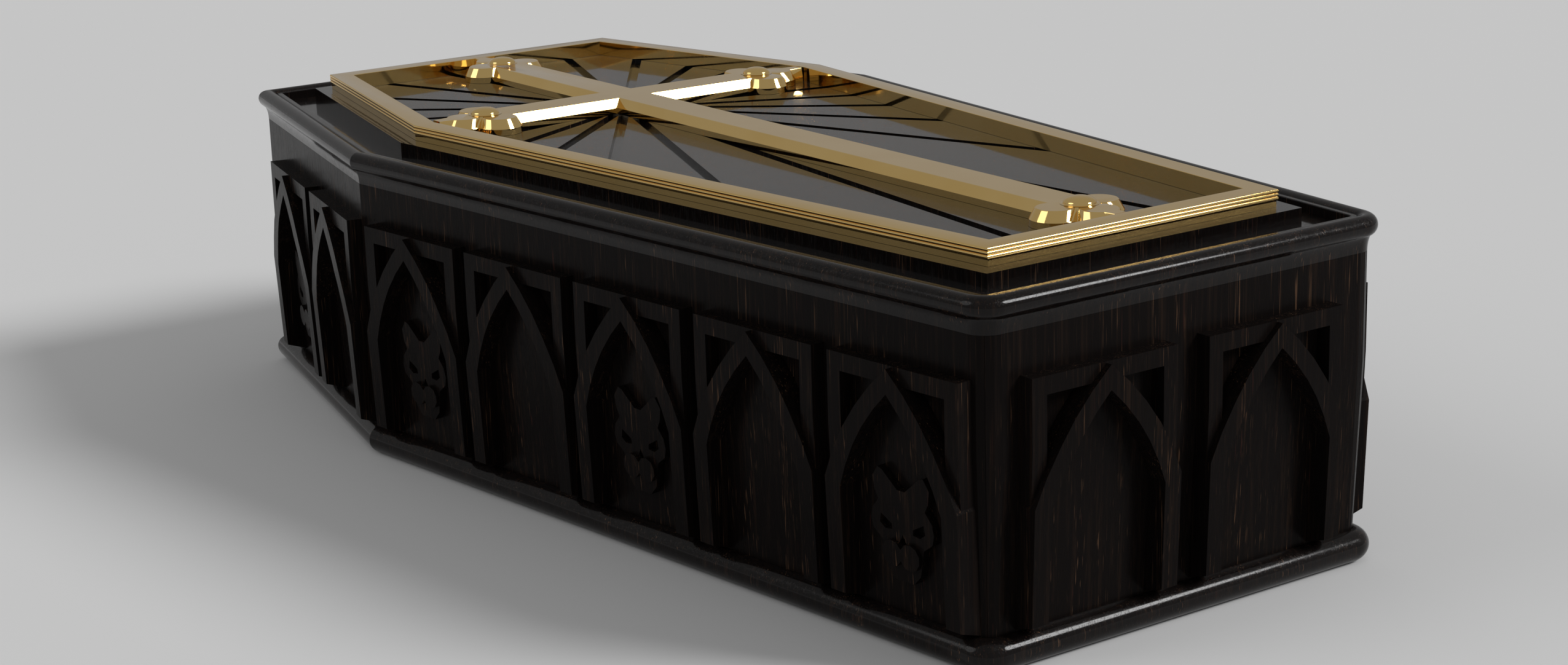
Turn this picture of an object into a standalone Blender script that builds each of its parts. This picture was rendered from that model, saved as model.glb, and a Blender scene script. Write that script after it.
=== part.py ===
"""A six-sided wooden coffin with carved gothic arcades, a rounded rim and plinth, and a gilt cross on its lid.

Metres, +Z up. +X runs from the foot to the head, +Y is the side carved for the viewer's left.
The origin lies on the floor below the middle of the chest.
Every outline is the lid's six-sided outline, grown or shrunk by a named distance.
"""

import math

import bmesh
import bpy
from mathutils import Matrix, Vector

# Six-sided outline of the gilt frame, from which every other outline is offset
FRAME_LENGTH = 1.868
FOOT_WIDTH = 0.534
SHOULDER_WIDTH = 0.835
HEAD_WIDTH = 0.590
FOOT_TO_SHOULDER = 1.312

# Fits
TOUCH = 0.0003
LID_CLEARANCE = 0.001

# Facets that turn less than this many degrees count as one plane
FLAT_ANGLE = 0.1

# Bottom board and plinth moulding
BOTTOM_THICKNESS = 0.020
PLINTH_RADIUS = 0.0238
PLINTH_STEPS = 8

# Walls: a vertical upper part, and a lower part that leans in to the plinth
WALL_TOP = 0.464
WALL_BEND_HEIGHT = 0.303
WALL_OFFSET = 0.102
WALL_FOOT_OFFSET = 0.0915
WALL_INSIDE_OFFSET = 0.067
WALL_CORNER_RADIUS = 0.033
CORNER_STEPS = 4

# Only the two corners at the foot are rounded, and the others stay sharp to this small radius
ROUNDED_CORNERS = (0, 5)
LEAST_CORNER_RADIUS = 0.004

# Rim moulding
COVE_HEIGHT = 0.021
COVE_STEPS = 4
BULLNOSE_RADIUS = 0.016
BULLNOSE_REACH = 0.014
BULLNOSE_STEPS = 8
BULLNOSE_START = math.radians(-50)
BULLNOSE_TURN = math.radians(185)
QUIRK_DEPTH = 0.008
LIP_WIDTH = 0.010
LIP_DROP = 0.0045
RIM_INSIDE_OFFSET = 0.077
SEAT_RISE = 0.013

# Lid
LID_MARGIN_THICKNESS = 0.0205
FIELD_RISE = 0.025
FIELD_OFFSET = 0.0245
RAY_WIDTH = 0.018
RAY_DEPTH = 0.008
RAY_START = math.radians(6.3)
RAY_SPACING = math.radians(14.2)
RAYS_PER_QUARTER = 6
LID_RECESS_DEPTH = 0.020
LID_RECESS_OFFSET = 0.0

# Gilt frame
FRAME_WIDTH = 0.0375
FRAME_HEIGHT = 0.026
REED_COUNT = 3
REED_HEIGHT = 0.0053
REED_DEPTH = 0.0016
FRAME_FOOT_SETBACK = 0.0022

# A reed's crest: how far it stands back, as a share of the reed's depth, and where it starts, as a share of its height
REED_CREST_SHARE = 0.2
REED_SHOULDER_SHARE = 0.25

# Gilt cross, its top level with the frame's and its upper edge bevelled all round
CROSS_BAR_WIDTH = 0.0825
CROSS_BEVEL_WIDTH = 0.009
CROSS_BEVEL_DROP = 0.015
CROSS_FROM_FOOT = 1.317
TERMINAL_FROM_FRAME = 0.0845
SIDE_TERMINAL_FROM_FRAME = 0.099
LOBE_CENTRE = 0.041
LOBE_RADIUS = 0.037
SIDE_LOBE_ANGLE = math.radians(98)
HEART_RADIUS = 0.038
STUB_WIDTH = 0.028
STUB_BEVEL_SHARE = 0.4
LOBE_STEPS = 26

# Domed boss on each end of the cross, on a low collar
BOSS_RADIUS = 0.028
BOSS_COLLAR_HEIGHT = 0.0012
DOME_RADIUS = 0.024
DOME_HEIGHT = 0.010
DOME_STEPS = 5
BOSS_TURNS = 16

# Arcade carving
LEDGE_HEIGHT = 0.404
PLATE_RAISE = 0.0245
ARCH_RAISE = 0.0345
PLATE_ROOT = 0.006
ARCH_ROOT = 0.008
BAR_DEPTH = 0.0255
STILE_WIDTH = 0.025
POST_WIDTH = 0.027
POST_PROUD = 0.002
APEX_DEPTH = 0.037
SPRING_HEIGHT = 0.217
SPRING_STEP = 0.010
ARCH_BOW = 0.064
ARCH_STEPS = 5
POST_SPLAY = 0.40

# Skull relief: a flat raised face with a notched crown, sunk eyes and nose, and a rounded muzzle
SKULL_CHIN = 0.098
SKULL_HEIGHT = 0.156
SKULL_HALF_WIDTH = 0.060
SKULL_RAISE = 0.013
MUZZLE_RAISE = 0.019
SKULL_ROOT = 0.005
MUZZLE_ROOT = 0.004
SOCKET_FLOOR = 0.003
MUZZLE_RADIUS = 0.019
MUZZLE_APART = 0.017
MUZZLE_HEIGHT = 0.25
MUZZLE_STEPS = 9

# Right half of the skull's outline from its notched crown to its chin, as shares of its half width and its height
SKULL_OUTLINE = [
    (0.00, 0.83),
    (0.12, 0.83),
    (0.58, 0.98),
    (0.72, 1.00),
    (0.90, 0.90),
    (0.85, 0.78),
    (0.74, 0.70),
    (0.94, 0.61),
    (1.00, 0.51),
    (0.94, 0.42),
    (0.66, 0.34),
    (0.60, 0.22),
    (0.52, 0.09),
    (0.30, 0.00),
]
RIGHT_EYE = [(0.68, 0.575), (0.72, 0.49), (0.55, 0.445), (0.33, 0.455), (0.34, 0.505)]
NOSE = [(0.00, 0.43), (-0.11, 0.35), (-0.05, 0.33), (0.05, 0.33), (0.11, 0.35)]

# Each carved wall: its first corner counted from the foot on the -Y side, its node, whether it is carved there and
# then mirrored to the +Y side, its number of bays, the plain wood before, between and after them, and its skull bays
WALLS = [
    (0, "side_board_right", False, 5, 0.043, 0.031, 0.024, (0, 2, 4)),
    (0, "side_board_left", True, 5, 0.024, 0.031, 0.043, (0, 2, 4)),
    (1, "shoulder_board_right", False, 2, 0.005, 0.031, 0.104, (1,)),
    (1, "shoulder_board_left", True, 2, 0.005, 0.031, 0.104, (1,)),
    (2, "head_board", False, 2, 0.100, 0.080, 0.100, ()),
    (5, "foot_board", False, 2, 0.059, 0.058, 0.089, ()),
]

# Heights worked out from the sizes above
PLINTH_TOP = 2 * PLINTH_RADIUS
RIM_SEAT = WALL_TOP + TOUCH + SEAT_RISE
BULLNOSE_HEIGHT = WALL_TOP + TOUCH + COVE_HEIGHT + BULLNOSE_RADIUS
LID_BOTTOM = RIM_SEAT + TOUCH
MARGIN_TOP = LID_BOTTOM + LID_MARGIN_THICKNESS
FIELD_TOP = MARGIN_TOP + FIELD_RISE
GILT_BOTTOM = FIELD_TOP + TOUCH
GILT_TOP = GILT_BOTTOM + FRAME_HEIGHT


def clear_scene():
    for obj in list(bpy.data.objects):
        bpy.data.objects.remove(obj, do_unlink=True)


def material(name, color, roughness, metallic):
    made = bpy.data.materials.new(name)
    made.use_nodes = True
    shader = made.node_tree.nodes["Principled BSDF"]
    shader.inputs["Base Color"].default_value = (*color, 1.0)
    shader.inputs["Roughness"].default_value = roughness
    shader.inputs["Metallic"].default_value = metallic
    made.diffuse_color = (*color, 1.0)
    return made


def make_object(name, mesh_builder, finish, helper=False):
    """An object from a filled bmesh, with its faces pointing out."""
    mesh = bpy.data.meshes.new(name)
    mesh_builder.normal_update()
    bmesh.ops.recalc_face_normals(mesh_builder, faces=mesh_builder.faces[:])
    bmesh.ops.triangulate(mesh_builder, faces=mesh_builder.faces[:])
    mesh_builder.to_mesh(mesh)
    mesh_builder.free()
    obj = bpy.data.objects.new(name, mesh)
    bpy.context.scene.collection.objects.link(obj)
    mesh.materials.append(finish)
    if helper:
        obj.hide_render = True
        obj.display_type = "WIRE"
    return obj


def smooth(obj, degrees):
    obj.data.shade_smooth()
    obj.data.set_sharp_from_angle(angle=math.radians(degrees))


def combine(obj, other, operation):
    step = obj.modifiers.new(other.name, "BOOLEAN")
    step.operation = operation
    step.object = other
    step.solver = "EXACT"


def merge_flat_faces(obj):
    """Joins neighbouring facets that lie in one plane."""
    step = obj.modifiers.new("flat_faces", "DECIMATE")
    step.decimate_type = "DISSOLVE"
    step.angle_limit = math.radians(FLAT_ANGLE)


def unite(obj, others):
    """Joins several overlapping helpers to an object in one step."""
    group = bpy.data.collections.new(obj.name + "_carving")
    group.hide_render = True
    for other in others:
        group.objects.link(other)
    step = obj.modifiers.new("carving", "BOOLEAN")
    step.operation = "UNION"
    step.operand_type = "COLLECTION"
    step.collection = group
    step.solver = "EXACT"


def corners(offset):
    """The six corners of the lid's outline grown by offset, anticlockwise from the foot on the -Y side."""
    foot_x = -FRAME_LENGTH / 2
    shoulder_x = foot_x + FOOT_TO_SHOULDER
    head_x = FRAME_LENGTH / 2
    lid = [
        Vector((foot_x, -FOOT_WIDTH / 2)),
        Vector((shoulder_x, -SHOULDER_WIDTH / 2)),
        Vector((head_x, -HEAD_WIDTH / 2)),
        Vector((head_x, HEAD_WIDTH / 2)),
        Vector((shoulder_x, SHOULDER_WIDTH / 2)),
        Vector((foot_x, FOOT_WIDTH / 2)),
    ]
    grown = []
    for index, corner in enumerate(lid):
        before = (corner - lid[index - 1]).normalized()
        after = (lid[(index + 1) % 6] - corner).normalized()
        out_before = Vector((before.y, -before.x))
        out_after = Vector((after.y, -after.x))
        mitre = (out_before + out_after) / (1 + out_before.dot(out_after))
        grown.append(corner + mitre * offset)
    return grown


def corner_arc(points, index, radius, steps):
    """Points round one corner of a six-sided outline, rounded to a radius where that corner is a rounded one."""
    if index not in ROUNDED_CORNERS:
        radius = min(radius, LEAST_CORNER_RADIUS)
    corner = points[index]
    back = (points[index - 1] - corner).normalized()
    ahead = (points[(index + 1) % 6] - corner).normalized()
    half = back.angle(ahead) / 2
    centre = corner + (back + ahead).normalized() * radius / math.sin(half)
    start = corner + back * radius / math.tan(half) - centre
    turn = math.pi - 2 * half
    arc = []
    for step in range(steps + 1):
        angle = turn * step / steps
        cos, sin = math.cos(angle), math.sin(angle)
        arc.append(centre + Vector((start.x * cos - start.y * sin, start.x * sin + start.y * cos)))
    return arc


def outline(offset, radius=0.0, steps=CORNER_STEPS):
    """The grown outline as a closed loop of points, with sharp or rounded corners."""
    points = corners(offset)
    if radius <= 0:
        return points
    loop = []
    for index in range(6):
        loop += corner_arc(points, index, radius, steps)
    return loop


def wall_radius(offset):
    """Corners stay concentric: their radius grows with the offset."""
    return WALL_CORNER_RADIUS + offset - WALL_OFFSET


def loft(loops, close=False):
    """A solid through loops of equal length: capped at both ends, or closed on itself as a ring."""
    builder = bmesh.new()
    rings = [[builder.verts.new(point) for point in loop] for loop in loops]
    pairs = list(zip(rings, rings[1:] + rings[:1])) if close else list(zip(rings, rings[1:]))
    for lower, upper in pairs:
        for index in range(len(lower)):
            following = (index + 1) % len(lower)
            builder.faces.new((lower[index], lower[following], upper[following], upper[index]))
    if not close:
        builder.faces.new(rings[0])
        builder.faces.new(rings[-1])
    return builder


def prism(points, bottom, top):
    """A flat outline pulled up from one height to another."""
    return loft([[(point[0], point[1], height) for point in points] for height in (bottom, top)])


def ring(profile, radius_of):
    """A moulding: a closed profile of (offset, height) carried round the outline."""
    loops = [[(*point, height) for point in outline(offset, radius_of(offset))] for offset, height in profile]
    return loft(loops, close=True)


def arc_between(start, end, bow, steps):
    """Points along a shallow arc that bows to the left of the way from start to end, by a share of the chord."""
    chord = Vector(end) - Vector(start)
    length = chord.length
    rise = bow * length
    radius = (length**2 / 4 + rise**2) / (2 * rise)
    left = Vector((-chord.y, chord.x)).normalized()
    centre = (Vector(start) + Vector(end)) / 2 - left * (radius - rise)
    half = math.asin(length / 2 / radius)
    points = []
    for step in range(steps + 1):
        angle = half * (1 - 2 * step / steps)
        points.append(centre + left * radius * math.cos(angle) - chord.normalized() * radius * math.sin(angle))
    return points


def wall_offset(height):
    """How far the wall's outer face stands outside the lid's outline at a height."""
    share = (WALL_BEND_HEIGHT - height) / (WALL_BEND_HEIGHT - PLINTH_TOP - TOUCH)
    return WALL_OFFSET + (WALL_FOOT_OFFSET - WALL_OFFSET) * min(max(share, 0.0), 1.0)


class Wall:
    """One side of the chest: places points given along it, up it and out of its face."""

    def __init__(self, index):
        self.index = index
        outside = corners(WALL_OFFSET)
        self.start = outside[index]
        self.length = (outside[(index + 1) % 6] - self.start).length
        self.along = (outside[(index + 1) % 6] - self.start).normalized()
        self.out = Vector((self.along.y, -self.along.x))

    def place(self, along, height, depth):
        flat = self.start + self.along * along + self.out * (wall_offset(height) - WALL_OFFSET + depth)
        return Vector((flat.x, flat.y, height))

    def level(self, height, inner_offset):
        """One loop of the board's section: the outer face with half of each rounded corner, then the inner face."""
        offset = wall_offset(height)
        points = corners(offset)
        following = (self.index + 1) % 6
        half = CORNER_STEPS // 2
        outer = corner_arc(points, self.index, wall_radius(offset), CORNER_STEPS)[half:]
        outer += corner_arc(points, following, wall_radius(offset), CORNER_STEPS)[: half + 1]
        inside = corners(inner_offset)
        return [(*point, height) for point in outer + [inside[following], inside[self.index]]]

    def shorten(self, builder):
        """Takes half a touch off both ends, so that neighbouring boards meet without overlapping."""
        middle = self.start + self.along * self.length / 2
        shrink = 1 - 2 * TOUCH / self.length
        for vert in builder.verts:
            reach = (vert.co.xy - middle).dot(self.along)
            vert.co.xy += self.along * reach * (shrink - 1)


def carved_prism(wall, outlines, low, high, splay=0.0):
    """Flat shapes given along and up the wall, from one depth to another off its face, and bent with it."""
    builder = bmesh.new()
    for points in outlines:
        back = [builder.verts.new((point[0], point[1], low)) for point in points]
        front = [builder.verts.new((point[0], point[1], high)) for point in points]
        builder.faces.new(back)
        builder.faces.new(front)
        for index in range(len(points)):
            following = (index + 1) % len(points)
            builder.faces.new((back[index], back[following], front[following], front[index]))
    bend = Vector((0, WALL_BEND_HEIGHT, 0))
    everything = builder.verts[:] + builder.edges[:] + builder.faces[:]
    bmesh.ops.bisect_plane(builder, geom=everything, plane_co=bend, plane_no=(0, 1, 0), dist=1e-6)
    foot = PLINTH_TOP + TOUCH
    for vert in builder.verts:
        along, height, depth = vert.co
        if height < foot + 1e-6 and depth > 0:
            height += depth * splay
        vert.co = wall.place(along, height, depth)
    return builder


def plate_outline(centre, half):
    """The square-cut frame behind each arch: two stiles joined by a top bar."""
    inner = half - STILE_WIDTH
    low = SPRING_HEIGHT
    under = LEDGE_HEIGHT - BAR_DEPTH
    return [
        (centre - half, low),
        (centre - inner, low),
        (centre - inner, under),
        (centre + inner, under),
        (centre + inner, low),
        (centre + half, low),
        (centre + half, LEDGE_HEIGHT),
        (centre - half, LEDGE_HEIGHT),
    ]


def arch_outline(centre, half):
    """A pointed arch on two posts."""
    outer = half + POST_PROUD
    inner = half - POST_WIDTH
    foot = PLINTH_TOP + TOUCH
    top = LEDGE_HEIGHT - POST_PROUD
    outside = arc_between((-outer, SPRING_HEIGHT + SPRING_STEP), (0, top), ARCH_BOW, ARCH_STEPS)
    inside = arc_between((-inner, SPRING_HEIGHT), (0, LEDGE_HEIGHT - APEX_DEPTH), ARCH_BOW, ARCH_STEPS)
    left_out = [(-outer, foot)] + [tuple(point) for point in outside]
    left_in = [(-inner, foot)] + [tuple(point) for point in inside]
    right_out = [(-along, height) for along, height in reversed(left_out[:-1])]
    right_in = [(-along, height) for along, height in left_in[:-1]]
    loop = left_out + right_out + right_in + list(reversed(left_in))
    return [(centre + along, height) for along, height in loop]


def skull_points(centre, shares):
    """Places on the wall from shares of the skull's half width and height."""
    return [(centre + across * SKULL_HALF_WIDTH, SKULL_CHIN + up * SKULL_HEIGHT) for across, up in shares]


def mirrored(shares):
    return [(-across, up) for across, up in reversed(shares)]


def muzzle_outline(centre):
    """Two discs side by side under the eyes, as one outline."""
    height = SKULL_CHIN + MUZZLE_HEIGHT * SKULL_HEIGHT
    meeting = math.acos(-MUZZLE_APART / MUZZLE_RADIUS)
    turns = [meeting * (2 * step / MUZZLE_STEPS - 1) for step in range(MUZZLE_STEPS + 1)]
    right = [(MUZZLE_APART + MUZZLE_RADIUS * math.cos(a), height + MUZZLE_RADIUS * math.sin(a)) for a in turns]
    return [(centre + along, up) for along, up in right + mirrored(right)[1:-1]]


def skull_reliefs(name, wall, centres, finish):
    """The raised face and muzzle of a skull at each of these places."""
    faces = [skull_points(centre, SKULL_OUTLINE + mirrored(SKULL_OUTLINE[1:])) for centre in centres]
    muzzles = [muzzle_outline(centre) for centre in centres]
    return [
        make_object(name + "_skulls", carved_prism(wall, faces, -SKULL_ROOT, SKULL_RAISE), finish, True),
        make_object(name + "_muzzles", carved_prism(wall, muzzles, -MUZZLE_ROOT, MUZZLE_RAISE), finish, True),
    ]


def skull_sockets(name, wall, centres, finish):
    """What is cut from each skull for its eyes and nose."""
    hollows = []
    for centre in centres:
        for shares in (RIGHT_EYE, mirrored(RIGHT_EYE), NOSE):
            hollows.append(skull_points(centre, shares))
    depths = (SOCKET_FLOOR, MUZZLE_RAISE + SOCKET_FLOOR)
    return make_object(name + "_sockets", carved_prism(wall, hollows, *depths), finish, True)


def wall_board(corner, name, bays, before, gap, after, skull_bays, finish):
    """A board of the chest with its arcade and skulls carved on it."""
    wall = Wall(corner)
    heights = [BOTTOM_THICKNESS + TOUCH, PLINTH_TOP + TOUCH, WALL_BEND_HEIGHT, WALL_TOP]
    builder = loft([wall.level(height, WALL_INSIDE_OFFSET) for height in heights])
    wall.shorten(builder)
    board = make_object(name, builder, finish)
    width = (wall.length - before - after - gap * (bays - 1)) / bays
    centres = [before + width / 2 + bay * (width + gap) for bay in range(bays)]
    plates = [plate_outline(centre, width / 2) for centre in centres]
    arches = [arch_outline(centre, width / 2) for centre in centres]
    carving = [
        make_object(name + "_plates", carved_prism(wall, plates, -PLATE_ROOT, PLATE_RAISE), finish, True),
        make_object(name + "_arches", carved_prism(wall, arches, -ARCH_ROOT, ARCH_RAISE, POST_SPLAY), finish, True),
    ]
    skull_centres = [centres[bay] for bay in skull_bays]
    if skull_centres:
        carving += skull_reliefs(name, wall, skull_centres, finish)
    unite(board, carving)
    if skull_centres:
        combine(board, skull_sockets(name, wall, skull_centres, finish), "DIFFERENCE")
    merge_flat_faces(board)
    return board


def mirror_image(board, name):
    """Turns a carved board into its mirror image on the other side of the chest."""
    bpy.context.view_layer.update()
    graph = bpy.context.evaluated_depsgraph_get()
    mesh = bpy.data.meshes.new_from_object(board.evaluated_get(graph))
    mesh.transform(Matrix.Scale(-1, 4, (0, 1, 0)))
    mesh.flip_normals()
    bpy.data.objects.remove(board, do_unlink=True)
    obj = bpy.data.objects.new(name, mesh)
    bpy.context.scene.collection.objects.link(obj)
    return obj


def plinth(finish):
    """The half-round moulding that goes round the foot of the chest."""
    inside = WALL_FOOT_OFFSET + TOUCH
    profile = [(inside, 0.0)]
    for step in range(PLINTH_STEPS + 1):
        angle = math.pi * (step / PLINTH_STEPS - 0.5)
        profile.append((inside + TOUCH + PLINTH_RADIUS * math.cos(angle), PLINTH_RADIUS * (1 + math.sin(angle))))
    profile.append((inside, PLINTH_TOP))
    made = make_object("plinth_moulding", ring(profile, wall_radius), finish)
    smooth(made, 40)
    return made


def rim(finish):
    """The rim: a cove and a bullnose outside, a quirk and a lip inside, and a rebate that carries the lid."""
    low = WALL_TOP + TOUCH
    out = WALL_OFFSET
    centre = out + BULLNOSE_REACH - BULLNOSE_RADIUS
    profile = [(WALL_INSIDE_OFFSET, low), (out, low)]
    cove_start = BULLNOSE_HEIGHT + BULLNOSE_RADIUS * math.sin(BULLNOSE_START)
    cove_out = centre + BULLNOSE_RADIUS * math.cos(BULLNOSE_START)
    for step in range(1, COVE_STEPS):
        turn = math.pi / 2 * step / COVE_STEPS
        profile.append((out + (cove_out - out) * (1 - math.cos(turn)), low + (cove_start - low) * math.sin(turn)))
    for step in range(BULLNOSE_STEPS + 1):
        angle = BULLNOSE_START + BULLNOSE_TURN * step / BULLNOSE_STEPS
        profile.append((centre + BULLNOSE_RADIUS * math.cos(angle), BULLNOSE_HEIGHT + BULLNOSE_RADIUS * math.sin(angle)))
    top = BULLNOSE_HEIGHT + BULLNOSE_RADIUS
    profile.append((RIM_INSIDE_OFFSET + LIP_WIDTH, top - QUIRK_DEPTH))
    profile.append((RIM_INSIDE_OFFSET + LIP_WIDTH, top - LIP_DROP))
    profile.append((RIM_INSIDE_OFFSET, top - LIP_DROP))
    profile.append((RIM_INSIDE_OFFSET, RIM_SEAT))
    profile.append((WALL_INSIDE_OFFSET, RIM_SEAT))
    made = make_object("rim_moulding", ring(profile, rim_radius), finish)
    smooth(made, 40)
    return made


def rim_radius(offset):
    return max(wall_radius(offset), LEAST_CORNER_RADIUS)


def star(half_width, reach):
    """Outline of the sunburst: straight rays from the middle of the cross, merged near it."""
    quarter = [RAY_START + RAY_SPACING * ray for ray in range(RAYS_PER_QUARTER)]
    angles = quarter + [math.pi - angle for angle in reversed(quarter)]
    angles += [angle + math.pi for angle in angles]
    centre = Vector((CROSS_FROM_FOOT - FRAME_LENGTH / 2, 0))
    loop = []
    for index, angle in enumerate(angles):
        along = Vector((math.cos(angle), math.sin(angle)))
        side = Vector((-along.y, along.x))
        end = reach_of_ray(centre, along, reach)
        loop.append(centre + along * end - side * half_width)
        loop.append(centre + along * end + side * half_width)
        gap = (angles[(index + 1) % len(angles)] - angle) % (2 * math.pi)
        middle = angle + gap / 2
        notch = half_width / math.sin(gap / 2)
        loop.append(centre + Vector((math.cos(middle), math.sin(middle))) * notch)
    return loop


def reach_of_ray(centre, along, offset):
    """How far a ray runs from centre before it meets the outline grown by offset."""
    points = corners(offset)
    nearest = math.inf
    for index in range(6):
        start = points[index]
        edge = points[(index + 1) % 6] - start
        out = Vector((edge.y, -edge.x)).normalized()
        speed = along.dot(out)
        if speed > 1e-9:
            nearest = min(nearest, (start - centre).dot(out) / speed)
    return nearest


def lid_board(finish):
    """The lid: a thin margin that sits in the rim's rebate, and a raised field with a sunburst cut in it."""
    margin_offset = RIM_INSIDE_OFFSET - LID_CLEARANCE
    margin = prism(outline(margin_offset, rim_radius(margin_offset)), LID_BOTTOM, MARGIN_TOP)
    made = make_object("lid_board", margin, finish)
    field = prism(outline(FIELD_OFFSET), MARGIN_TOP - FIELD_RISE / 2, FIELD_TOP)
    combine(made, make_object("lid_field", field, finish, True), "UNION")
    rays = prism(star(RAY_WIDTH / 2, -FRAME_WIDTH / 2), FIELD_TOP - RAY_DEPTH, FIELD_TOP + RAY_DEPTH)
    combine(made, make_object("sunburst_cutter", rays, finish, True), "DIFFERENCE")
    hollow = prism(outline(LID_RECESS_OFFSET), LID_BOTTOM - LID_RECESS_DEPTH, LID_BOTTOM + LID_RECESS_DEPTH)
    combine(made, make_object("underside_cutter", hollow, finish, True), "DIFFERENCE")
    merge_flat_faces(made)
    return made


def gilt_frame(finish):
    """The flat gilt frame on the lid, with reeds round its outer edge above a plain foot."""
    profile = [(-FRAME_WIDTH, GILT_BOTTOM), (-FRAME_FOOT_SETBACK, GILT_BOTTOM)]
    reeds_low = GILT_TOP - REED_COUNT * REED_HEIGHT
    profile.append((-FRAME_FOOT_SETBACK, reeds_low))
    for reed in range(REED_COUNT):
        low = reeds_low + reed * REED_HEIGHT
        profile.append((-REED_DEPTH, low))
        profile.append((-REED_DEPTH * REED_CREST_SHARE, low + REED_HEIGHT * REED_SHOULDER_SHARE))
        profile.append((-REED_DEPTH * REED_CREST_SHARE, low + REED_HEIGHT * (1 - REED_SHOULDER_SHARE)))
    profile.append((-REED_DEPTH, GILT_TOP))
    profile.append((-FRAME_WIDTH, GILT_TOP))
    return make_object("gilt_frame", ring(profile, lambda offset: 0.0), finish)


def terminal_radius(angle, bevel):
    """Reach of a three-lobed cross end from its middle: the furthest of its lobes and its round heart."""
    reach = HEART_RADIUS - bevel
    radius = LOBE_RADIUS - bevel
    for lobe in (0.0, SIDE_LOBE_ANGLE, -SIDE_LOBE_ANGLE):
        aside = LOBE_CENTRE * math.sin(angle - lobe)
        ahead = LOBE_CENTRE * math.cos(angle - lobe)
        if ahead > 0 and abs(aside) < radius:
            reach = max(reach, ahead + math.sqrt(radius**2 - aside**2))
    return reach


def terminal_outline(middle, frame_reach, bevel):
    """Half-outline of one cross arm from its end to its bar, as (along, aside) points, for aside above zero."""
    half_bar = CROSS_BAR_WIDTH / 2 - bevel
    half_stub = STUB_WIDTH / 2 - bevel * STUB_BEVEL_SHARE
    points = [(frame_reach, half_stub)]
    for step in range(1, LOBE_STEPS):
        angle = math.pi * step / LOBE_STEPS
        reach = terminal_radius(angle, bevel)
        aside = reach * math.sin(angle)
        limit = half_stub if math.cos(angle) > 0 else half_bar
        outermost = terminal_radius(angle, 0) * math.sin(angle)
        widest = (STUB_WIDTH if math.cos(angle) > 0 else CROSS_BAR_WIDTH) / 2
        if outermost > widest:
            points.append((middle + reach * math.cos(angle), max(aside, limit)))
    return points


def cross_outline(bevel):
    """The whole cross, seen from above, drawn in all round by a bevel."""
    centre = Vector((CROSS_FROM_FOOT - FRAME_LENGTH / 2, 0))
    half_bar = CROSS_BAR_WIDTH / 2 - bevel
    loop = []
    for middle, along in cross_arms():
        direction = Vector(along)
        side = Vector((-direction.y, direction.x))
        reach = reach_of_ray(centre, direction, -FRAME_WIDTH) - stub_clearance(direction)
        half = terminal_outline(middle, reach, bevel)
        other_half = [(ahead, -aside) for ahead, aside in reversed(half)]
        for ahead, aside in other_half + half:
            loop.append(centre + direction * ahead + side * aside)
        loop.append(centre + (direction + side) * half_bar)
    return loop


def gilt_cross(finish):
    """The cross: two bars with three-lobed ends, each joined to the frame by a short stub."""
    levels = [(GILT_BOTTOM, 0.0), (GILT_TOP - CROSS_BEVEL_DROP, 0.0), (GILT_TOP, CROSS_BEVEL_WIDTH)]
    loops = [[(*point, height) for point in cross_outline(bevel)] for height, bevel in levels]
    return make_object("gilt_cross", loft(loops), finish)


def stub_clearance(direction):
    """The stub stops a touch short of the frame, or further where the frame's inner edge runs aslant."""
    if abs(direction.x) > abs(direction.y):
        return TOUCH
    slope = (SHOULDER_WIDTH - HEAD_WIDTH) / 2 / (FRAME_LENGTH - FOOT_TO_SHOULDER)
    return TOUCH + STUB_WIDTH * slope


def cross_arms():
    """Distance from the crossing to each end's middle, with the arm's direction."""
    foot_arm = CROSS_FROM_FOOT - FRAME_WIDTH - TERMINAL_FROM_FRAME
    head_arm = FRAME_LENGTH - CROSS_FROM_FOOT - FRAME_WIDTH - TERMINAL_FROM_FRAME
    crossing = Vector((CROSS_FROM_FOOT - FRAME_LENGTH / 2, 0))
    side_arm = reach_of_ray(crossing, Vector((0, 1)), -FRAME_WIDTH) - SIDE_TERMINAL_FROM_FRAME
    return [
        (head_arm, (1, 0)),
        (side_arm, (0, 1)),
        (foot_arm, (-1, 0)),
        (side_arm, (0, -1)),
    ]


def boss(name, place, finish):
    """A domed boss on a low collar, turned about its own middle."""
    low = GILT_TOP + TOUCH
    profile = [(BOSS_RADIUS, 0.0)]
    for step in range(DOME_STEPS):
        angle = math.pi / 2 * step / DOME_STEPS
        profile.append((DOME_RADIUS * math.cos(angle), BOSS_COLLAR_HEIGHT + DOME_HEIGHT * math.sin(angle)))
    builder = bmesh.new()
    rings = []
    for radius, height in profile:
        turns = []
        for step in range(BOSS_TURNS):
            angle = 2 * math.pi * step / BOSS_TURNS
            spot = place + Vector((math.cos(angle), math.sin(angle))) * radius
            turns.append(builder.verts.new((*spot, low + height)))
        rings.append(turns)
    for lower, upper in zip(rings, rings[1:]):
        for index in range(BOSS_TURNS):
            following = (index + 1) % BOSS_TURNS
            builder.faces.new((lower[index], lower[following], upper[following], upper[index]))
    builder.faces.new(rings[0])
    tip = builder.verts.new((*place, low + BOSS_COLLAR_HEIGHT + DOME_HEIGHT))
    for index in range(BOSS_TURNS):
        builder.faces.new((rings[-1][index], rings[-1][(index + 1) % BOSS_TURNS], tip))
    made = make_object(name, builder, finish)
    smooth(made, 50)
    return made


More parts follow.
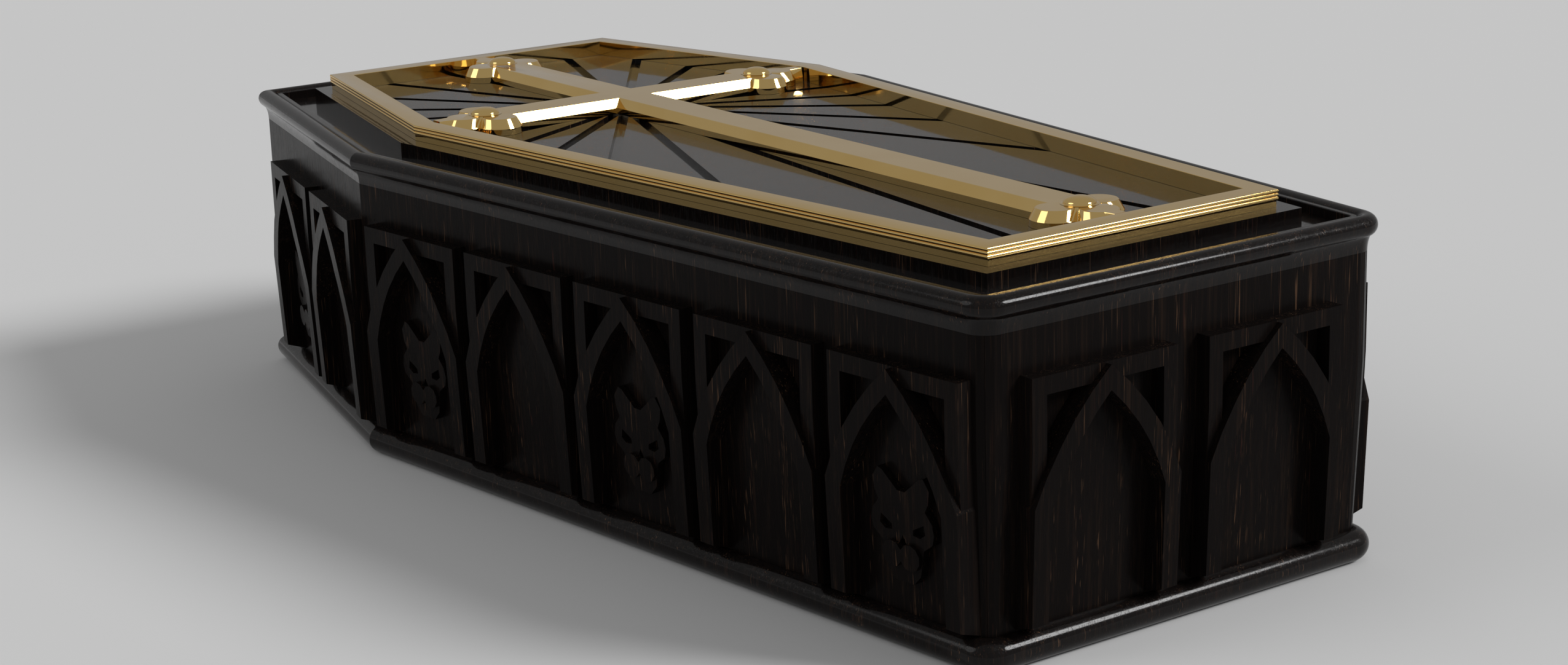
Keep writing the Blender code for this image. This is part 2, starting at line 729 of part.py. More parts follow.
def main():
    clear_scene()
    ebony = material("ebony_wood", (0.030, 0.022, 0.020), 0.28, 0.0)
    lacquer = material("lacquered_wood", (0.018, 0.014, 0.013), 0.15, 0.0)
    gilt = material("gilt", (0.56, 0.47, 0.33), 0.22, 1.0)
    bottom = prism(outline(WALL_FOOT_OFFSET, wall_radius(WALL_FOOT_OFFSET)), 0.0, BOTTOM_THICKNESS)
    make_object("bottom_board", bottom, ebony)
    for corner, name, is_mirrored, *layout in WALLS:
        board = wall_board(corner, name + "_pattern" if is_mirrored else name, *layout, ebony)
        if is_mirrored:
            mirror_image(board, name)
    plinth(ebony)
    rim(ebony)
    lid_board(lacquer)
    gilt_frame(gilt)
    gilt_cross(gilt)
    centre_x = CROSS_FROM_FOOT - FRAME_LENGTH / 2
    for name, (middle, along) in zip(("boss_head", "boss_left", "boss_foot", "boss_right"), cross_arms()):
        boss(name, Vector((centre_x, 0)) + Vector(along) * middle, gilt)


main()
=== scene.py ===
# %% [markdown]
# # A wooden coffin with gothic arcades and a gilt cross
#
# The coffin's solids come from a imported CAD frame. Its boards, mouldings and gilt pieces already have
# their true sizes there, so this lesson adds what a solid can't hold: round mouldings, eased edges,
# wood grain and bright gilt. Everything is in metres. +X runs from the foot to the head, and +Z is up.

# %% Load the frame
import math

import bmesh
import bpy
import numpy as np
from mathutils import Matrix, Vector


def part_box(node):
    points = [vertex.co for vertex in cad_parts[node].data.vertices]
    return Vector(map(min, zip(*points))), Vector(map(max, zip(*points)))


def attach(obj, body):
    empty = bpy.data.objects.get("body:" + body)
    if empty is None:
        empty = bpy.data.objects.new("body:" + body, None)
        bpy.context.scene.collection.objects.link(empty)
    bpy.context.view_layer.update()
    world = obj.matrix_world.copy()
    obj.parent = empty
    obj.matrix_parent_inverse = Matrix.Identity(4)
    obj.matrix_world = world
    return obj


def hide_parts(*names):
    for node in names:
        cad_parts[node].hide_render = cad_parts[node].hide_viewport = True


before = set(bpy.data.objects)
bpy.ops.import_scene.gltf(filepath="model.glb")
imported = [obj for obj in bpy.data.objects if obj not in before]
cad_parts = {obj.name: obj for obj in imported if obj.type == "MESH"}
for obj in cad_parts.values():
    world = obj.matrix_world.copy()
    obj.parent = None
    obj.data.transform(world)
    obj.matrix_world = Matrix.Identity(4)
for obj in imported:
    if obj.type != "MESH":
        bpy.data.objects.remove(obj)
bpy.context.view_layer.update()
scene = bpy.context.scene
print("nodes:", sorted(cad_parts))

# %% [markdown]
# The camera stands low at the foot end, to the left of the chest, and looks down at it by about 15
# degrees. A camera could be aimed with a constraint, but three angles say the same thing plainly: which
# way it stands, how far it looks down, and how far the picture leans.

# %% Camera
CAMERA_PLACE = (-3.675, 2.512, 1.402)
CAMERA_AZIMUTH = math.radians(145.06)
CAMERA_ELEVATION = math.radians(15.19)
CAMERA_LEAN = math.radians(-1.69)
CAMERA_LENS = 63.51


def turned_camera(place, azimuth, elevation, lean):
    """Where a camera stands: turned round the upright axis, tipped down, then leaned on its line of sight."""
    turn = Matrix.Rotation(azimuth + math.pi / 2, 4, "Z")
    tip = Matrix.Rotation(math.pi / 2 - elevation, 4, "X")
    return Matrix.Translation(place) @ turn @ tip @ Matrix.Rotation(lean, 4, "Z")


camera = bpy.data.objects.new("camera", bpy.data.cameras.new("camera"))
scene.collection.objects.link(camera)
camera.data.lens = CAMERA_LENS
camera.matrix_world = turned_camera(CAMERA_PLACE, CAMERA_AZIMUTH, CAMERA_ELEVATION, CAMERA_LEAN)
scene.camera = camera
print("camera at", [round(x, 3) for x in camera.location])

# %% [markdown]
# Shader maths reads best as ordinary arithmetic. `Value` wraps one socket of a node graph and overloads
# the operators, so `1 - mask * 0.5` adds its own Math nodes. `Finish` holds one material and has a
# single method that adds any other node.


# %% A small language for shaders
class Value:
    """A number, colour or vector that a node gives out. Arithmetic on it adds Math nodes."""

    def __init__(self, finish, socket):
        self.finish = finish
        self.socket = socket

    def __add__(self, other):
        return self.finish.math("ADD", self, other)

    def __sub__(self, other):
        return self.finish.math("SUBTRACT", self, other)

    def __rsub__(self, other):
        return self.finish.math("SUBTRACT", other, self)

    def __mul__(self, other):
        return self.finish.math("MULTIPLY", self, other)

    __radd__ = __add__
    __rmul__ = __mul__


class Finish:
    """A material made of nodes round one Principled shader."""

    def __init__(self, name, **constants):
        self.material = bpy.data.materials.new(name)
        self.material.use_nodes = True
        self.tree = self.material.node_tree
        self.shader = self.tree.nodes["Principled BSDF"]
        for socket, value in constants.items():
            self.shader.inputs[socket.replace("_", " ")].default_value = value

    def node(self, kind, sockets, output=0, **settings):
        """Adds any node: its settings first, then the values or links of its sockets."""
        made = self.tree.nodes.new(kind)
        for setting, value in settings.items():
            setattr(made, setting, value)
        for socket, value in sockets.items():
            self.feed(made.inputs[socket], value)
        return Value(self, made.outputs[output])

    def feed(self, socket, value):
        if isinstance(value, Value):
            self.tree.links.new(value.socket, socket)
        else:
            socket.default_value = value

    def math(self, operation, first, second):
        return self.node("ShaderNodeMath", {0: first, 1: second}, operation=operation)

    def place(self, scale=(1, 1, 1), move=(0, 0, 0)):
        """The point being shaded, in the coffin's own metres, moved and stretched."""
        spot = self.node("ShaderNodeTexCoord", {}, output="Object")
        return self.node("ShaderNodeMapping", {"Vector": spot, "Scale": scale, "Location": move})

    def noise(self, scale, move=(0, 0, 0), detail=2.0, roughness=0.5):
        """Soft random values, with one scale for each axis."""
        sockets = {"Vector": self.place(scale, move), "Scale": 1.0, "Detail": detail, "Roughness": roughness}
        return self.node("ShaderNodeTexNoise", sockets)

    def fade(self, value, low, high):
        """0 below low, 1 above high, and a smooth rise between them."""
        sockets = {"Value": value, "From Min": low, "From Max": high}
        return self.node("ShaderNodeMapRange", sockets, interpolation_type="SMOOTHSTEP")

    def mix(self, share, first, second):
        """The first colour where the share is 0, the second where it is 1."""
        sockets = {0: share, 6: first, 7: second}
        return self.node("ShaderNodeMix", sockets, output=2, data_type="RGBA")

    def bump(self, height, distance):
        return self.node("ShaderNodeBump", {"Height": height, "Distance": distance, "Strength": 1.0})

    def finish(self, **links):
        for socket, value in links.items():
            self.feed(self.shader.inputs[socket.replace("_", " ")], value)
        return self.material


# %% [markdown]
# The chest is ebony: almost black, with fine upright streaks of brown, tan and dull red. The grain of a
# real board runs one way, so noise that is stretched along Z makes it: short in the two flat directions
# and long upwards. The streaks gather in broad bands, as growth rings do. One solid pattern serves the
# boards and the mouldings, because the mouldings of the real piece show the same grain as short marks
# across them.

# %% Ebony
EBONY_BLACK = (0.0052, 0.0040, 0.0037, 1)
EBONY_BROWN = (0.016, 0.0095, 0.0066, 1)
EBONY_TAN = (0.095, 0.052, 0.030, 1)
EBONY_RED = (0.045, 0.016, 0.012, 1)
BROAD_BANDS = (34, 34, 1.4)
SOFT_STREAKS = (150, 150, 4.5)
FINE_STREAKS = (430, 430, 11)
PORES = (900, 900, 38)
GRAIN_DEPTH = 0.00012
BAND_RANGE = (0.42, 0.66)
SOFT_RANGE = (0.48, 0.72)
TAN_RANGE = (0.63, 0.72)
RED_RANGE = (0.65, 0.74)
RED_MOVE = (7, 3, 5)
PORE_RANGE = (0.60, 0.70)
BROWN_LEAST = 0.35
TAN_LEAST = 0.10
RED_LEAST = 0.08
RED_MORE = 0.5
PORE_SHARE = 0.6
STREAK_SWELL = 0.2
STREAK_DULLING = 0.05
PORE_DULLING = 0.10


def ebony(name, gloss, **constants):
    """Streaked black wood. gloss is its roughness, which rises by a little in the streaks and pores."""
    made = Finish(name, **constants)
    bands = made.fade(made.noise(BROAD_BANDS, detail=3), *BAND_RANGE)
    soft = made.fade(made.noise(SOFT_STREAKS, detail=3), *SOFT_RANGE)
    fine = made.fade(made.noise(FINE_STREAKS, detail=2), *TAN_RANGE)
    red = made.fade(made.noise(FINE_STREAKS, move=RED_MOVE, detail=2), *RED_RANGE)
    pores = made.fade(made.noise(PORES, detail=1), *PORE_RANGE)
    ground = made.mix(soft * (BROWN_LEAST + (1 - BROWN_LEAST) * bands), EBONY_BLACK, EBONY_BROWN)
    streaked = made.mix(fine * (TAN_LEAST + (1 - TAN_LEAST) * bands), ground, EBONY_TAN)
    reddened = made.mix(red * (RED_LEAST + RED_MORE * bands), streaked, EBONY_RED)
    color = made.mix(pores * PORE_SHARE, reddened, EBONY_BLACK)
    roughness = gloss + STREAK_DULLING * soft + PORE_DULLING * pores
    height = 1 - pores * PORE_SHARE - fine * STREAK_SWELL
    return made.finish(Base_Color=color, Roughness=roughness, Normal=made.bump(height, GRAIN_DEPTH))


carved_ebony = ebony("carved_ebony", 0.25, IOR=1.11)
polished_ebony = ebony("polished_ebony", 0.11, IOR=1.27)
lacquered_ebony = ebony("lacquered_ebony", 0.05, IOR=1.42)
print("woods:", carved_ebony.name, polished_ebony.name, lacquered_ebony.name)

# %% [markdown]
# The frame, the cross and the bosses are gilt metal: polished, pale on the flats and a deeper yellow
# where the metal mirrors itself. A metal's colour is the colour of its reflections, so the base colour
# is set strong and the rest is left to the lights. Faint brushing and a slow change of tone keep it
# from looking like plastic.

# %% Gilt
GILT_COLOR = (0.85, 0.59, 0.23, 1)
GILT_DEEP = (0.80, 0.53, 0.18, 1)
GILT_CLOUDS = (9, 9, 9)
GILT_BRUSHING = (260, 260, 260)
BRUSHING_DEPTH = 0.000012
CLOUD_RANGE = (0.35, 0.70)
CLOUD_SHARE = 0.5
CLOUD_DULLING = 0.03
BRUSHING_DULLING = 0.04


def gilt(name, gloss):
    """Polished gold-coloured metal, with clouds of a deeper tone and a faint brushing."""
    made = Finish(name, Metallic=1.0)
    clouds = made.fade(made.noise(GILT_CLOUDS, detail=3), *CLOUD_RANGE)
    brushing = made.noise(GILT_BRUSHING, detail=3, roughness=0.6)
    color = made.mix(clouds * CLOUD_SHARE, GILT_COLOR, GILT_DEEP)
    roughness = gloss + CLOUD_DULLING * clouds + BRUSHING_DULLING * brushing
    return made.finish(Base_Color=color, Roughness=roughness, Normal=made.bump(brushing, BRUSHING_DEPTH))


polished_gilt = gilt("polished_gilt", 0.04)
print("metal:", polished_gilt.name)

# %% [markdown]
# Every moulding, frame and step on this coffin follows one six-sided outline, grown or shrunk. A corner
# of the grown outline moves along its mitre, which is the line that halves the corner, so six corners
# and six mitres are all that is needed. A rounded corner is the same corner grown by the offset less
# the radius, plus the radius along a direction that turns from one side's normal to the next.

# %% The outline
FRAME_LENGTH = 1.868
FOOT_WIDTH = 0.534
SHOULDER_WIDTH = 0.835
HEAD_WIDTH = 0.590
FOOT_TO_SHOULDER = 1.312


def lid_outline():
    """Corners, their mitres, and each corner's first normal and its turn, from the foot at -Y."""
    along = np.array([0, FOOT_TO_SHOULDER, FRAME_LENGTH]) - FRAME_LENGTH / 2
    aside = np.array([FOOT_WIDTH, SHOULDER_WIDTH, HEAD_WIDTH]) / 2
    right = np.stack([along, -aside], axis=1)
    left = np.stack([along, aside], axis=1)[::-1]
    points = np.concatenate([right, left])
    sides = np.roll(points, -1, axis=0) - points
    sides /= np.linalg.norm(sides, axis=1)[:, None]
    after = np.stack([sides[:, 1], -sides[:, 0]], axis=1)
    before = np.roll(after, 1, axis=0)
    mitres = (before + after) / (1 + (before * after).sum(axis=1))[:, None]
    start = np.arctan2(before[:, 1], before[:, 0])
    turn = np.mod(np.arctan2(after[:, 1], after[:, 0]) - start, 2 * math.pi)
    return points, mitres, start, turn


CORNERS, MITRES, NORMAL_START, NORMAL_TURN = lid_outline()
print("corner turns in degrees:", np.degrees(NORMAL_TURN).round(1))


# %% [markdown]
# A grid of points becomes a mesh by joining each point to its neighbours along both of its directions.
# One helper does this for all pieces, and says which directions close on themselves.


# %% From a grid of points to a piece
def grid_faces(rows, columns, close_rows, close_columns):
    """Four-cornered faces between neighbours of a grid whose points are numbered row by row."""
    row = np.arange(rows if close_rows else rows - 1)[:, None]
    column = np.arange(columns if close_columns else columns - 1)[None, :]
    next_row = (row + 1) % rows
    next_column = (column + 1) % columns
    corners = [row * columns + column, row * columns + next_column]
    corners += [next_row * columns + next_column, next_row * columns + column]
    shape = (len(row), column.shape[1])
    return np.stack([np.broadcast_to(corner, shape) for corner in corners], axis=-1).reshape(-1, 4)


def new_piece(name, points, faces, finish, slot, replaced, sharp):
    """Puts points and faces in a mesh, turns its faces outwards, shades it and ties it to the frame."""
    mesh = bpy.data.meshes.new(name)
    mesh.from_pydata(np.asarray(points).reshape(-1, 3).tolist(), [], [list(face) for face in faces])
    shell = bmesh.new()
    shell.from_mesh(mesh)
    shell.normal_update()
    bmesh.ops.recalc_face_normals(shell, faces=shell.faces[:])
    shell.to_mesh(mesh)
    shell.free()
    mesh.materials.append(finish)
    mesh.shade_smooth()
    mesh.set_sharp_from_angle(angle=math.radians(sharp))
    piece = bpy.data.objects.new(name, mesh)
    scene.collection.objects.link(piece)
    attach(piece, "root")
    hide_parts(*replaced)
    print(name, "faces:", len(mesh.polygons))
    return piece


# %% [markdown]
# A moulding is a profile carried round the outline: each point of the profile has an offset, a height
# and a corner radius. It could be made with a curve and a bevel object, but that leaves the mitres to
# chance. Here every corner is worked out, and the ring closes on itself both ways. Only the two corners
# at the foot are rounded.


# %% Mouldings
WALL_OFFSET = 0.102
ROUNDED_CORNERS = (0, 5)
LEAST_CORNER = 0.004


def carried_round(profile, steps):
    """A closed profile of (offset, height, radius) carried round the coffin, as a grid of points."""
    offset, height, radius = np.asarray(profile, float).T[:, :, None, None]
    is_rounded = np.isin(np.arange(len(CORNERS)), ROUNDED_CORNERS)
    radius = np.minimum(radius, np.where(is_rounded, np.inf, LEAST_CORNER)[:, None])
    angle = NORMAL_START[:, None] + NORMAL_TURN[:, None] * np.linspace(0, 1, steps + 1)[None, :]
    reach = offset - radius
    x = CORNERS[:, 0, None] + MITRES[:, 0, None] * reach + radius * np.cos(angle)
    y = CORNERS[:, 1, None] + MITRES[:, 1, None] * reach + radius * np.sin(angle)
    z = np.broadcast_to(height, x.shape)
    return np.stack([x, y, z], axis=-1).reshape(len(profile), -1, 3)


def arc(centre, radius, start, turn, steps):
    """Points of a circle's arc: centre plus radius along each angle from start through turn, in degrees."""
    angle = np.radians(np.linspace(start, start + turn, steps + 1))
    return np.stack([centre[0] + radius * np.cos(angle), centre[1] + radius * np.sin(angle)], axis=1)


def moulding(name, profile, corner_radius, steps, finish, slot, sharp):
    """A ring piece that replaces the frame's node of the same moulding."""
    profile = np.asarray(profile, float)
    radius = np.maximum(corner_radius(profile[:, 0]), 0)
    points = carried_round(np.column_stack([profile, radius]), steps)
    faces = grid_faces(points.shape[0], points.shape[1], True, True)
    return new_piece(name, points, faces, finish, slot, [name.replace("_dressed", "")], sharp)


# %% [markdown]
# The rim goes round the top of the chest. From outside in it has a hollow cove, a full round nose, a
# narrow sunk line and a small lip, and its inner ledge carries the lid. The nose catches a bright line
# of light, which needs a real curve and not eight flats, so its arc is drawn here with many steps.

# %% Rim moulding
WALL_CORNER_RADIUS = 0.033
WALL_INSIDE_OFFSET = 0.067
RIM_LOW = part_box("rim_moulding")[0].z
RIM_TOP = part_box("rim_moulding")[1].z
NOSE_RADIUS = 0.016
NOSE_REACH = 0.014
NOSE_START = -50
NOSE_TURN = 185
QUIRK_DEPTH = 0.008
LIP_WIDTH = 0.010
LIP_DROP = 0.0045
RIM_INSIDE_OFFSET = 0.077
SEAT_RISE = 0.013
CORNER_STEPS = 16
NOSE_STEPS = 40
COVE_STEPS = 12
LIP_EASE = 0.0012
MOULDING_SHARP = 35


def wall_corner(offset):
    """Rounded corners stay concentric, so the radius grows with the offset."""
    return np.maximum(WALL_CORNER_RADIUS + offset - WALL_OFFSET, LEAST_CORNER)


def rim_profile():
    """Cove, nose, sunk line, lip and seat, as (offset, height), from the outer face to the inner."""
    centre = (WALL_OFFSET + NOSE_REACH - NOSE_RADIUS, RIM_TOP - NOSE_RADIUS)
    nose = arc(centre, NOSE_RADIUS, NOSE_START, NOSE_TURN, NOSE_STEPS)
    turn = np.linspace(0, math.pi / 2, COVE_STEPS + 1)[1:-1]
    cove_out = WALL_OFFSET + (nose[0, 0] - WALL_OFFSET) * (1 - np.cos(turn))
    cove_up = RIM_LOW + (nose[0, 1] - RIM_LOW) * np.sin(turn)
    lip_out = RIM_INSIDE_OFFSET + LIP_WIDTH
    lip_top = RIM_TOP - LIP_DROP
    inside = [(lip_out, RIM_TOP - QUIRK_DEPTH), (lip_out, lip_top - LIP_EASE), (lip_out - LIP_EASE, lip_top)]
    inside += [(RIM_INSIDE_OFFSET + LIP_EASE, lip_top), (RIM_INSIDE_OFFSET, lip_top - LIP_EASE)]
    inside += [(RIM_INSIDE_OFFSET, RIM_LOW + SEAT_RISE), (WALL_INSIDE_OFFSET, RIM_LOW + SEAT_RISE)]
    start = [(WALL_INSIDE_OFFSET, RIM_LOW), (WALL_OFFSET, RIM_LOW)]
    return np.concatenate([start, np.column_stack([cove_out, cove_up]), nose, inside])


WOOD_RING = (wall_corner, CORNER_STEPS, polished_ebony, "ebony_wood", MOULDING_SHARP)
moulding("rim_moulding_dressed", rim_profile(), *WOOD_RING)

# %% [markdown]
# The plinth is a plain half round at the foot of the chest. It is the same height all the way round,
# and its flat back lies against the boards.

# %% Plinth moulding
PLINTH_LOW, PLINTH_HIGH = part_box("plinth_moulding")
PLINTH_RADIUS = (PLINTH_HIGH.z - PLINTH_LOW.z) / 2
WALL_FOOT_OFFSET = 0.0915
FIT = 0.0003
PLINTH_STEPS = 32


def plinth_profile():
    """A half circle on a flat back."""
    back = WALL_FOOT_OFFSET + FIT
    half_round = arc((back + FIT, PLINTH_RADIUS), PLINTH_RADIUS, -90, 180, PLINTH_STEPS)
    return np.concatenate([[(back, 0)], half_round, [(back, 2 * PLINTH_RADIUS)]])


moulding("plinth_moulding_dressed", plinth_profile(), *WOOD_RING)

# %% [markdown]
# The gilt frame is a flat band with mitred corners. Three reeds, which are small half rounds, run round
# its outer edge above a plain foot. Its inner edge is eased by about half a millimetre, as polishing
# leaves it.

# %% Gilt frame
FRAME_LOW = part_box("gilt_frame")[0].z
FRAME_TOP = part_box("gilt_frame")[1].z
FRAME_WIDTH = 0.0375
FRAME_SETBACK = 0.0022
REED_HEIGHT = 0.0053
REED_COUNT = 3
REED_STEPS = 10
REED_FILL = 0.98
REED_DEPTH_SHARE = 0.75
FRAME_EASE = 0.0006
FRAME_SHARP = 16


def frame_profile():
    """A foot, three half-round reeds and a flat top, as (offset, height) from the lower inner edge."""
    reed_radius = REED_HEIGHT / 2
    first = FRAME_TOP - REED_COUNT * REED_HEIGHT
    reed_depth = FRAME_SETBACK * REED_DEPTH_SHARE
    reeds = []
    for reed in range(REED_COUNT):
        bead = arc((0, 0), 1, -90, 180, REED_STEPS)
        middle = first + (reed + 0.5) * REED_HEIGHT
        out = bead[:, 0] * reed_depth - reed_depth
        reeds.append(np.column_stack([out, middle + bead[:, 1] * reed_radius * REED_FILL]))
    foot = [(-FRAME_WIDTH, FRAME_LOW), (-FRAME_SETBACK, FRAME_LOW), (-FRAME_SETBACK, first)]
    top = [(-FRAME_WIDTH + FRAME_EASE, FRAME_TOP), (-FRAME_WIDTH, FRAME_TOP - FRAME_EASE)]
    return np.concatenate([foot] + reeds + [top])


def square_corner(offset):
    """A mitred corner has no radius."""
    return offset * 0


moulding("gilt_frame_dressed", frame_profile(), square_corner, 0, polished_gilt, "gilt", FRAME_SHARP)

# %% [markdown]
# The cross lies on the lid with its top level with the frame's. Its bars end in three lobes round a
# heart, and each end is joined to the frame by a short stub. The whole upper edge slopes. The outline
# is worked out as the furthest reach of overlapping circles, seen from the middle of each end, so the
# lobes meet in sharp notches as filed metal does. A sloping edge is the same outline drawn in by the
# slope's width.

# %% Gilt cross
CROSS_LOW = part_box("gilt_cross")[0].z
CROSS_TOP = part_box("gilt_cross")[1].z
BAR_WIDTH = 0.0825
SLOPE_WIDTH = 0.009
SLOPE_DROP = 0.015
CROSS_PAST_SHOULDER = 0.005
CROSSING = FOOT_TO_SHOULDER + CROSS_PAST_SHOULDER - FRAME_LENGTH / 2
LOBE_CENTRE = 0.041
LOBE_RADIUS = 0.037
SIDE_LOBE_ANGLE = math.radians(98)
HEART_RADIUS = 0.038
STUB_WIDTH = 0.028
STUB_SLOPE_SHARE = 0.4
LOBE_STEPS = 180
EDGE_EASE = 0.0007
LEAST_SPEED = 1e-9
CROSS_SHARP = 24
BOSS_NAMES = ("boss_head", "boss_left", "boss_foot", "boss_right")


def middle_of(node):
    low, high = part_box(node)
    return (low + high) / 2


def circle_reach(angle, around, centre, radius):
    """How far a ray at an angle runs before it leaves a circle that stands off in a given direction."""
    aside = centre * np.sin(angle - around)
    ahead = centre * np.cos(angle - around)
    inside = np.maximum(radius**2 - aside**2, 0)
    return np.where((ahead > 0) & (np.abs(aside) < radius), ahead + np.sqrt(inside), 0)


def end_reach(angle, slope):
    """The furthest of the heart and the three lobes, each drawn in by the slope."""
    arounds = (0, SIDE_LOBE_ANGLE, -SIDE_LOBE_ANGLE)
    lobes = [circle_reach(angle, around, LOBE_CENTRE, LOBE_RADIUS - slope) for around in arounds]
    return np.maximum.reduce([*lobes, np.full_like(angle, HEART_RADIUS - slope)])


def arm_outline(middle, end, slope):
    """Half of one arm from its stub to its bar, as (along, aside), for a slope of this width."""
    angle = np.linspace(0, math.pi, LOBE_STEPS + 1)[1:-1]
    ahead = np.cos(angle) > 0
    widest = np.where(ahead, STUB_WIDTH, BAR_WIDTH) / 2
    narrowed = np.where(ahead, STUB_WIDTH / 2 - slope * STUB_SLOPE_SHARE, BAR_WIDTH / 2 - slope)
    shown = end_reach(angle, 0) * np.sin(angle) > widest
    reach = end_reach(angle, slope)
    aside = np.maximum(reach * np.sin(angle), narrowed)
    lobes = np.column_stack([middle + reach * np.cos(angle), aside])[shown]
    return np.concatenate([[(end, STUB_WIDTH / 2 - slope * STUB_SLOPE_SHARE)], lobes])


def frame_distance(direction):
    """How far the frame's inner edge is from the crossing along a direction: the nearest side met."""
    inner = CORNERS - MITRES * FRAME_WIDTH
    side = np.roll(inner, -1, axis=0) - inner
    normal = np.stack([side[:, 1], -side[:, 0]], axis=1)
    normal /= np.linalg.norm(normal, axis=1)[:, None]
    speed = normal @ direction
    distance = ((inner - [CROSSING, 0]) * normal).sum(axis=1)
    return (distance[speed > LEAST_SPEED] / speed[speed > LEAST_SPEED]).min()


def cross_loop(slope):
    """The whole cross drawn in by a slope: four arms turned by quarter turns, joined at the inner corners."""
    loop = []
    for quarter, boss in enumerate(BOSS_NAMES):
        direction = np.array([math.cos(quarter * math.pi / 2), math.sin(quarter * math.pi / 2)]).round(9)
        side = np.array([-direction[1], direction[0]])
        place = middle_of(boss)
        middle = (np.array([place.x, place.y]) - [CROSSING, 0]) @ direction
        slant = (SHOULDER_WIDTH - HEAD_WIDTH) / 2 / (FRAME_LENGTH - FOOT_TO_SHOULDER) * abs(direction[1])
        end = frame_distance(direction) - FIT - STUB_WIDTH * slant
        half = arm_outline(middle, end, slope)
        inner_corner = [[BAR_WIDTH / 2 - slope, BAR_WIDTH / 2 - slope]]
        both = np.concatenate([half[::-1] * [1, -1], half, inner_corner])
        loop.append([CROSSING, 0] + both[:, :1] * direction + both[:, 1:] * side)
    return np.concatenate(loop)


def cross_piece():
    """Loops of the outline from the lid up: upright, then sloping in, then a narrow eased arris."""
    start = CROSS_TOP - SLOPE_DROP
    near_top = SLOPE_WIDTH - EDGE_EASE * SLOPE_WIDTH / SLOPE_DROP
    levels = [(CROSS_LOW, 0), (start - EDGE_EASE, 0), (start + EDGE_EASE, EDGE_EASE)]
    levels += [(CROSS_TOP - EDGE_EASE, near_top), (CROSS_TOP, SLOPE_WIDTH + EDGE_EASE)]
    loops = [(height, cross_loop(slope)) for height, slope in levels]
    points = np.stack([np.column_stack([loop, np.full(len(loop), height)]) for height, loop in loops])
    rows, columns = points.shape[:2]
    sides = grid_faces(rows, columns, False, True).tolist()
    caps = [list(range(columns)), list(range((rows - 1) * columns, rows * columns))]
    finish = (polished_gilt, "gilt", ["gilt_cross"], CROSS_SHARP)
    return new_piece("gilt_cross_dressed", points, sides + caps, *finish)


cross_piece()

# %% [markdown]
# A domed boss sits on each end of the cross, and a small hollow fillet leads into it. On a lathe it
# would be cut from one disc. Here one smooth profile of radius and height is turned about its own axis.

# %% Domed bosses
BOSS_TURNS = 96
BOSS_RADIUS = 0.028
FILLET_HEIGHT = 0.0012
DOME_RADIUS = 0.024
DOME_HEIGHT = 0.010
FILLET_STEPS = 6
DOME_STEPS = 24
BOSS_SHARP = 40


def boss_profile():
    """Radius and height from the rim to the middle: a hollow quarter round, then a quarter of an ellipse."""
    hollow = np.linspace(0, math.pi / 2, FILLET_STEPS, endpoint=False)
    rise = np.linspace(0, math.pi / 2, DOME_STEPS, endpoint=False)
    fillet_out = BOSS_RADIUS - (BOSS_RADIUS - DOME_RADIUS) * np.sin(hollow)
    fillet_up = FILLET_HEIGHT * (1 - np.cos(hollow))
    dome_up = FILLET_HEIGHT + DOME_HEIGHT * np.sin(rise)
    return np.concatenate([fillet_out, DOME_RADIUS * np.cos(rise)]), np.concatenate([fillet_up, dome_up])


def boss_piece(node):
    """The profile turned round the boss's own middle, with a flat underside and one point at the top."""
    centre = middle_of(node)
    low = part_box(node)[0].z
    out, up = boss_profile()
    angle = np.linspace(0, 2 * math.pi, BOSS_TURNS, endpoint=False)[None, :]
    x = centre.x + out[:, None] * np.cos(angle)
    y = centre.y + out[:, None] * np.sin(angle)
    points = np.stack([x, y, np.broadcast_to(low + up[:, None], x.shape)], axis=-1)
    rows = len(out)
    tip = rows * BOSS_TURNS
    top = low + FILLET_HEIGHT + DOME_HEIGHT
    points = np.concatenate([points.reshape(-1, 3), [(centre.x, centre.y, top)]])
    last = (rows - 1) * BOSS_TURNS + np.arange(BOSS_TURNS)
    cone = np.column_stack([last, np.roll(last, -1), np.full(BOSS_TURNS, tip)])
    faces = grid_faces(rows, BOSS_TURNS, False, True).tolist() + cone.tolist() + [list(range(BOSS_TURNS))]
    return new_piece(node + "_dressed", points, faces, polished_gilt, "gilt", [node], BOSS_SHARP)


for boss in BOSS_NAMES:
    boss_piece(boss)

# %% [markdown]
# The boards and the lid keep the frame's own solids, because their flat faces and crisp carving are
# already right. They only take a wood finish.

# %% Finishes on the frame's own nodes
BOARDS = ("side_board_left", "side_board_right", "shoulder_board_left", "shoulder_board_right")
BOARDS += ("head_board", "foot_board", "bottom_board")


def dress(node, finish):
    """Puts a finish in the first material slot of a node of the frame."""
    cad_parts[node].material_slots[0].material = finish


for board in BOARDS:
    dress(board, carved_ebony)
dress("lid_board", lacquered_ebony)
print("finished:", len(BOARDS) + 1, "nodes")

# %% [markdown]
# The coffin stands on a pale floor in a light studio. The floor is one large plane, so no edge or wall
# shows.

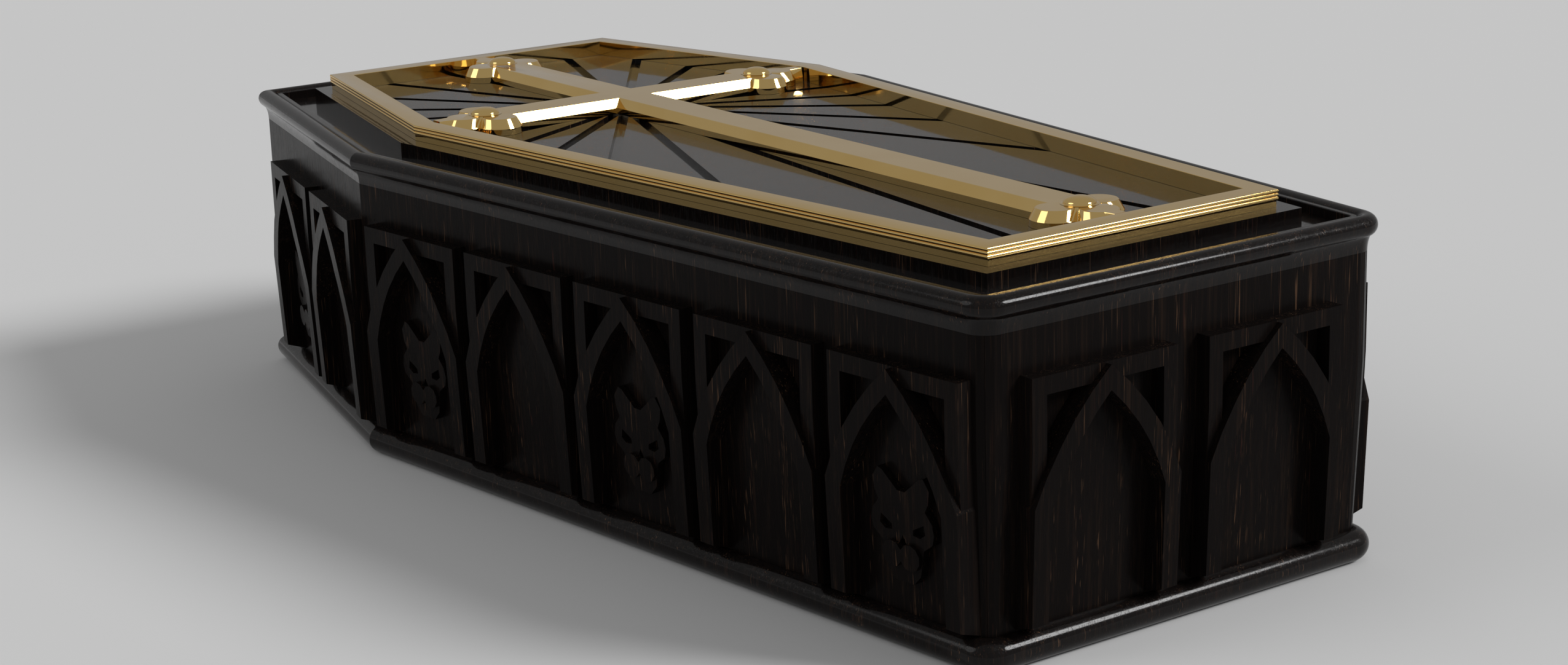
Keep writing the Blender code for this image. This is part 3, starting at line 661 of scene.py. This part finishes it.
# %% Floor
FLOOR_SIZE = 60
FLOOR_COLOR = (0.70, 0.70, 0.70, 1)
FLOOR_SHADE = (0.66, 0.66, 0.66, 1)
FLOOR_CLOUDS = (0.4, 0.4, 0.4)
FLOOR_SHADE_SHARE = 0.1
FLOOR_DROP = 0.0005


def floor():
    """A square plane just under the coffin."""
    half = FLOOR_SIZE / 2
    mesh = bpy.data.meshes.new("floor")
    square = [(-half, -half, 0), (half, -half, 0), (half, half, 0), (-half, half, 0)]
    mesh.from_pydata(square, [], [(0, 1, 2, 3)])
    made = Finish("studio_floor", Roughness=0.9, IOR=1.2)
    clouds = made.noise(FLOOR_CLOUDS)
    color = made.mix(clouds * FLOOR_SHADE_SHARE, FLOOR_COLOR, FLOOR_SHADE)
    mesh.materials.append(made.finish(Base_Color=color))
    piece = bpy.data.objects.new("floor", mesh)
    piece.location.z = -FLOOR_DROP
    scene.collection.objects.link(piece)


floor()

# %% [markdown]
# The light is soft. A grey surrounding gives even light from everywhere, and two wide distant lamps
# give the bright lines on the mouldings and the gleam on the gilt. Lamps close by would leave the far
# floor dark.

# %% Light
SURROUND = 0.33
FOOT_LAMP = {"direction": (-0.60, -0.55, 0.575), "width": 20, "strength": 2.15}
HEAD_LAMP = {"direction": (0.32, 0.75, 0.57), "width": 34, "strength": 0.45}


def surrounding(level):
    world = bpy.data.worlds.new("studio")
    world.use_nodes = True
    world.node_tree.nodes["Background"].inputs["Color"].default_value = (level, level, level, 1)
    scene.world = world


def distant_softbox(name, direction, width, strength):
    """A round lamp, endlessly far off and this many degrees wide, which lights all the floor evenly."""
    lamp = bpy.data.lights.new(name, "SUN")
    lamp.angle = math.radians(width)
    lamp.energy = strength
    holder = bpy.data.objects.new(name, lamp)
    away = Vector(direction).normalized()
    holder.matrix_world = away.to_track_quat("Z", "Y").to_matrix().to_4x4()
    scene.collection.objects.link(holder)


surrounding(SURROUND)
distant_softbox("softbox_foot", **FOOT_LAMP)
distant_softbox("softbox_head", **HEAD_LAMP)
scene.view_settings.view_transform = "Standard"
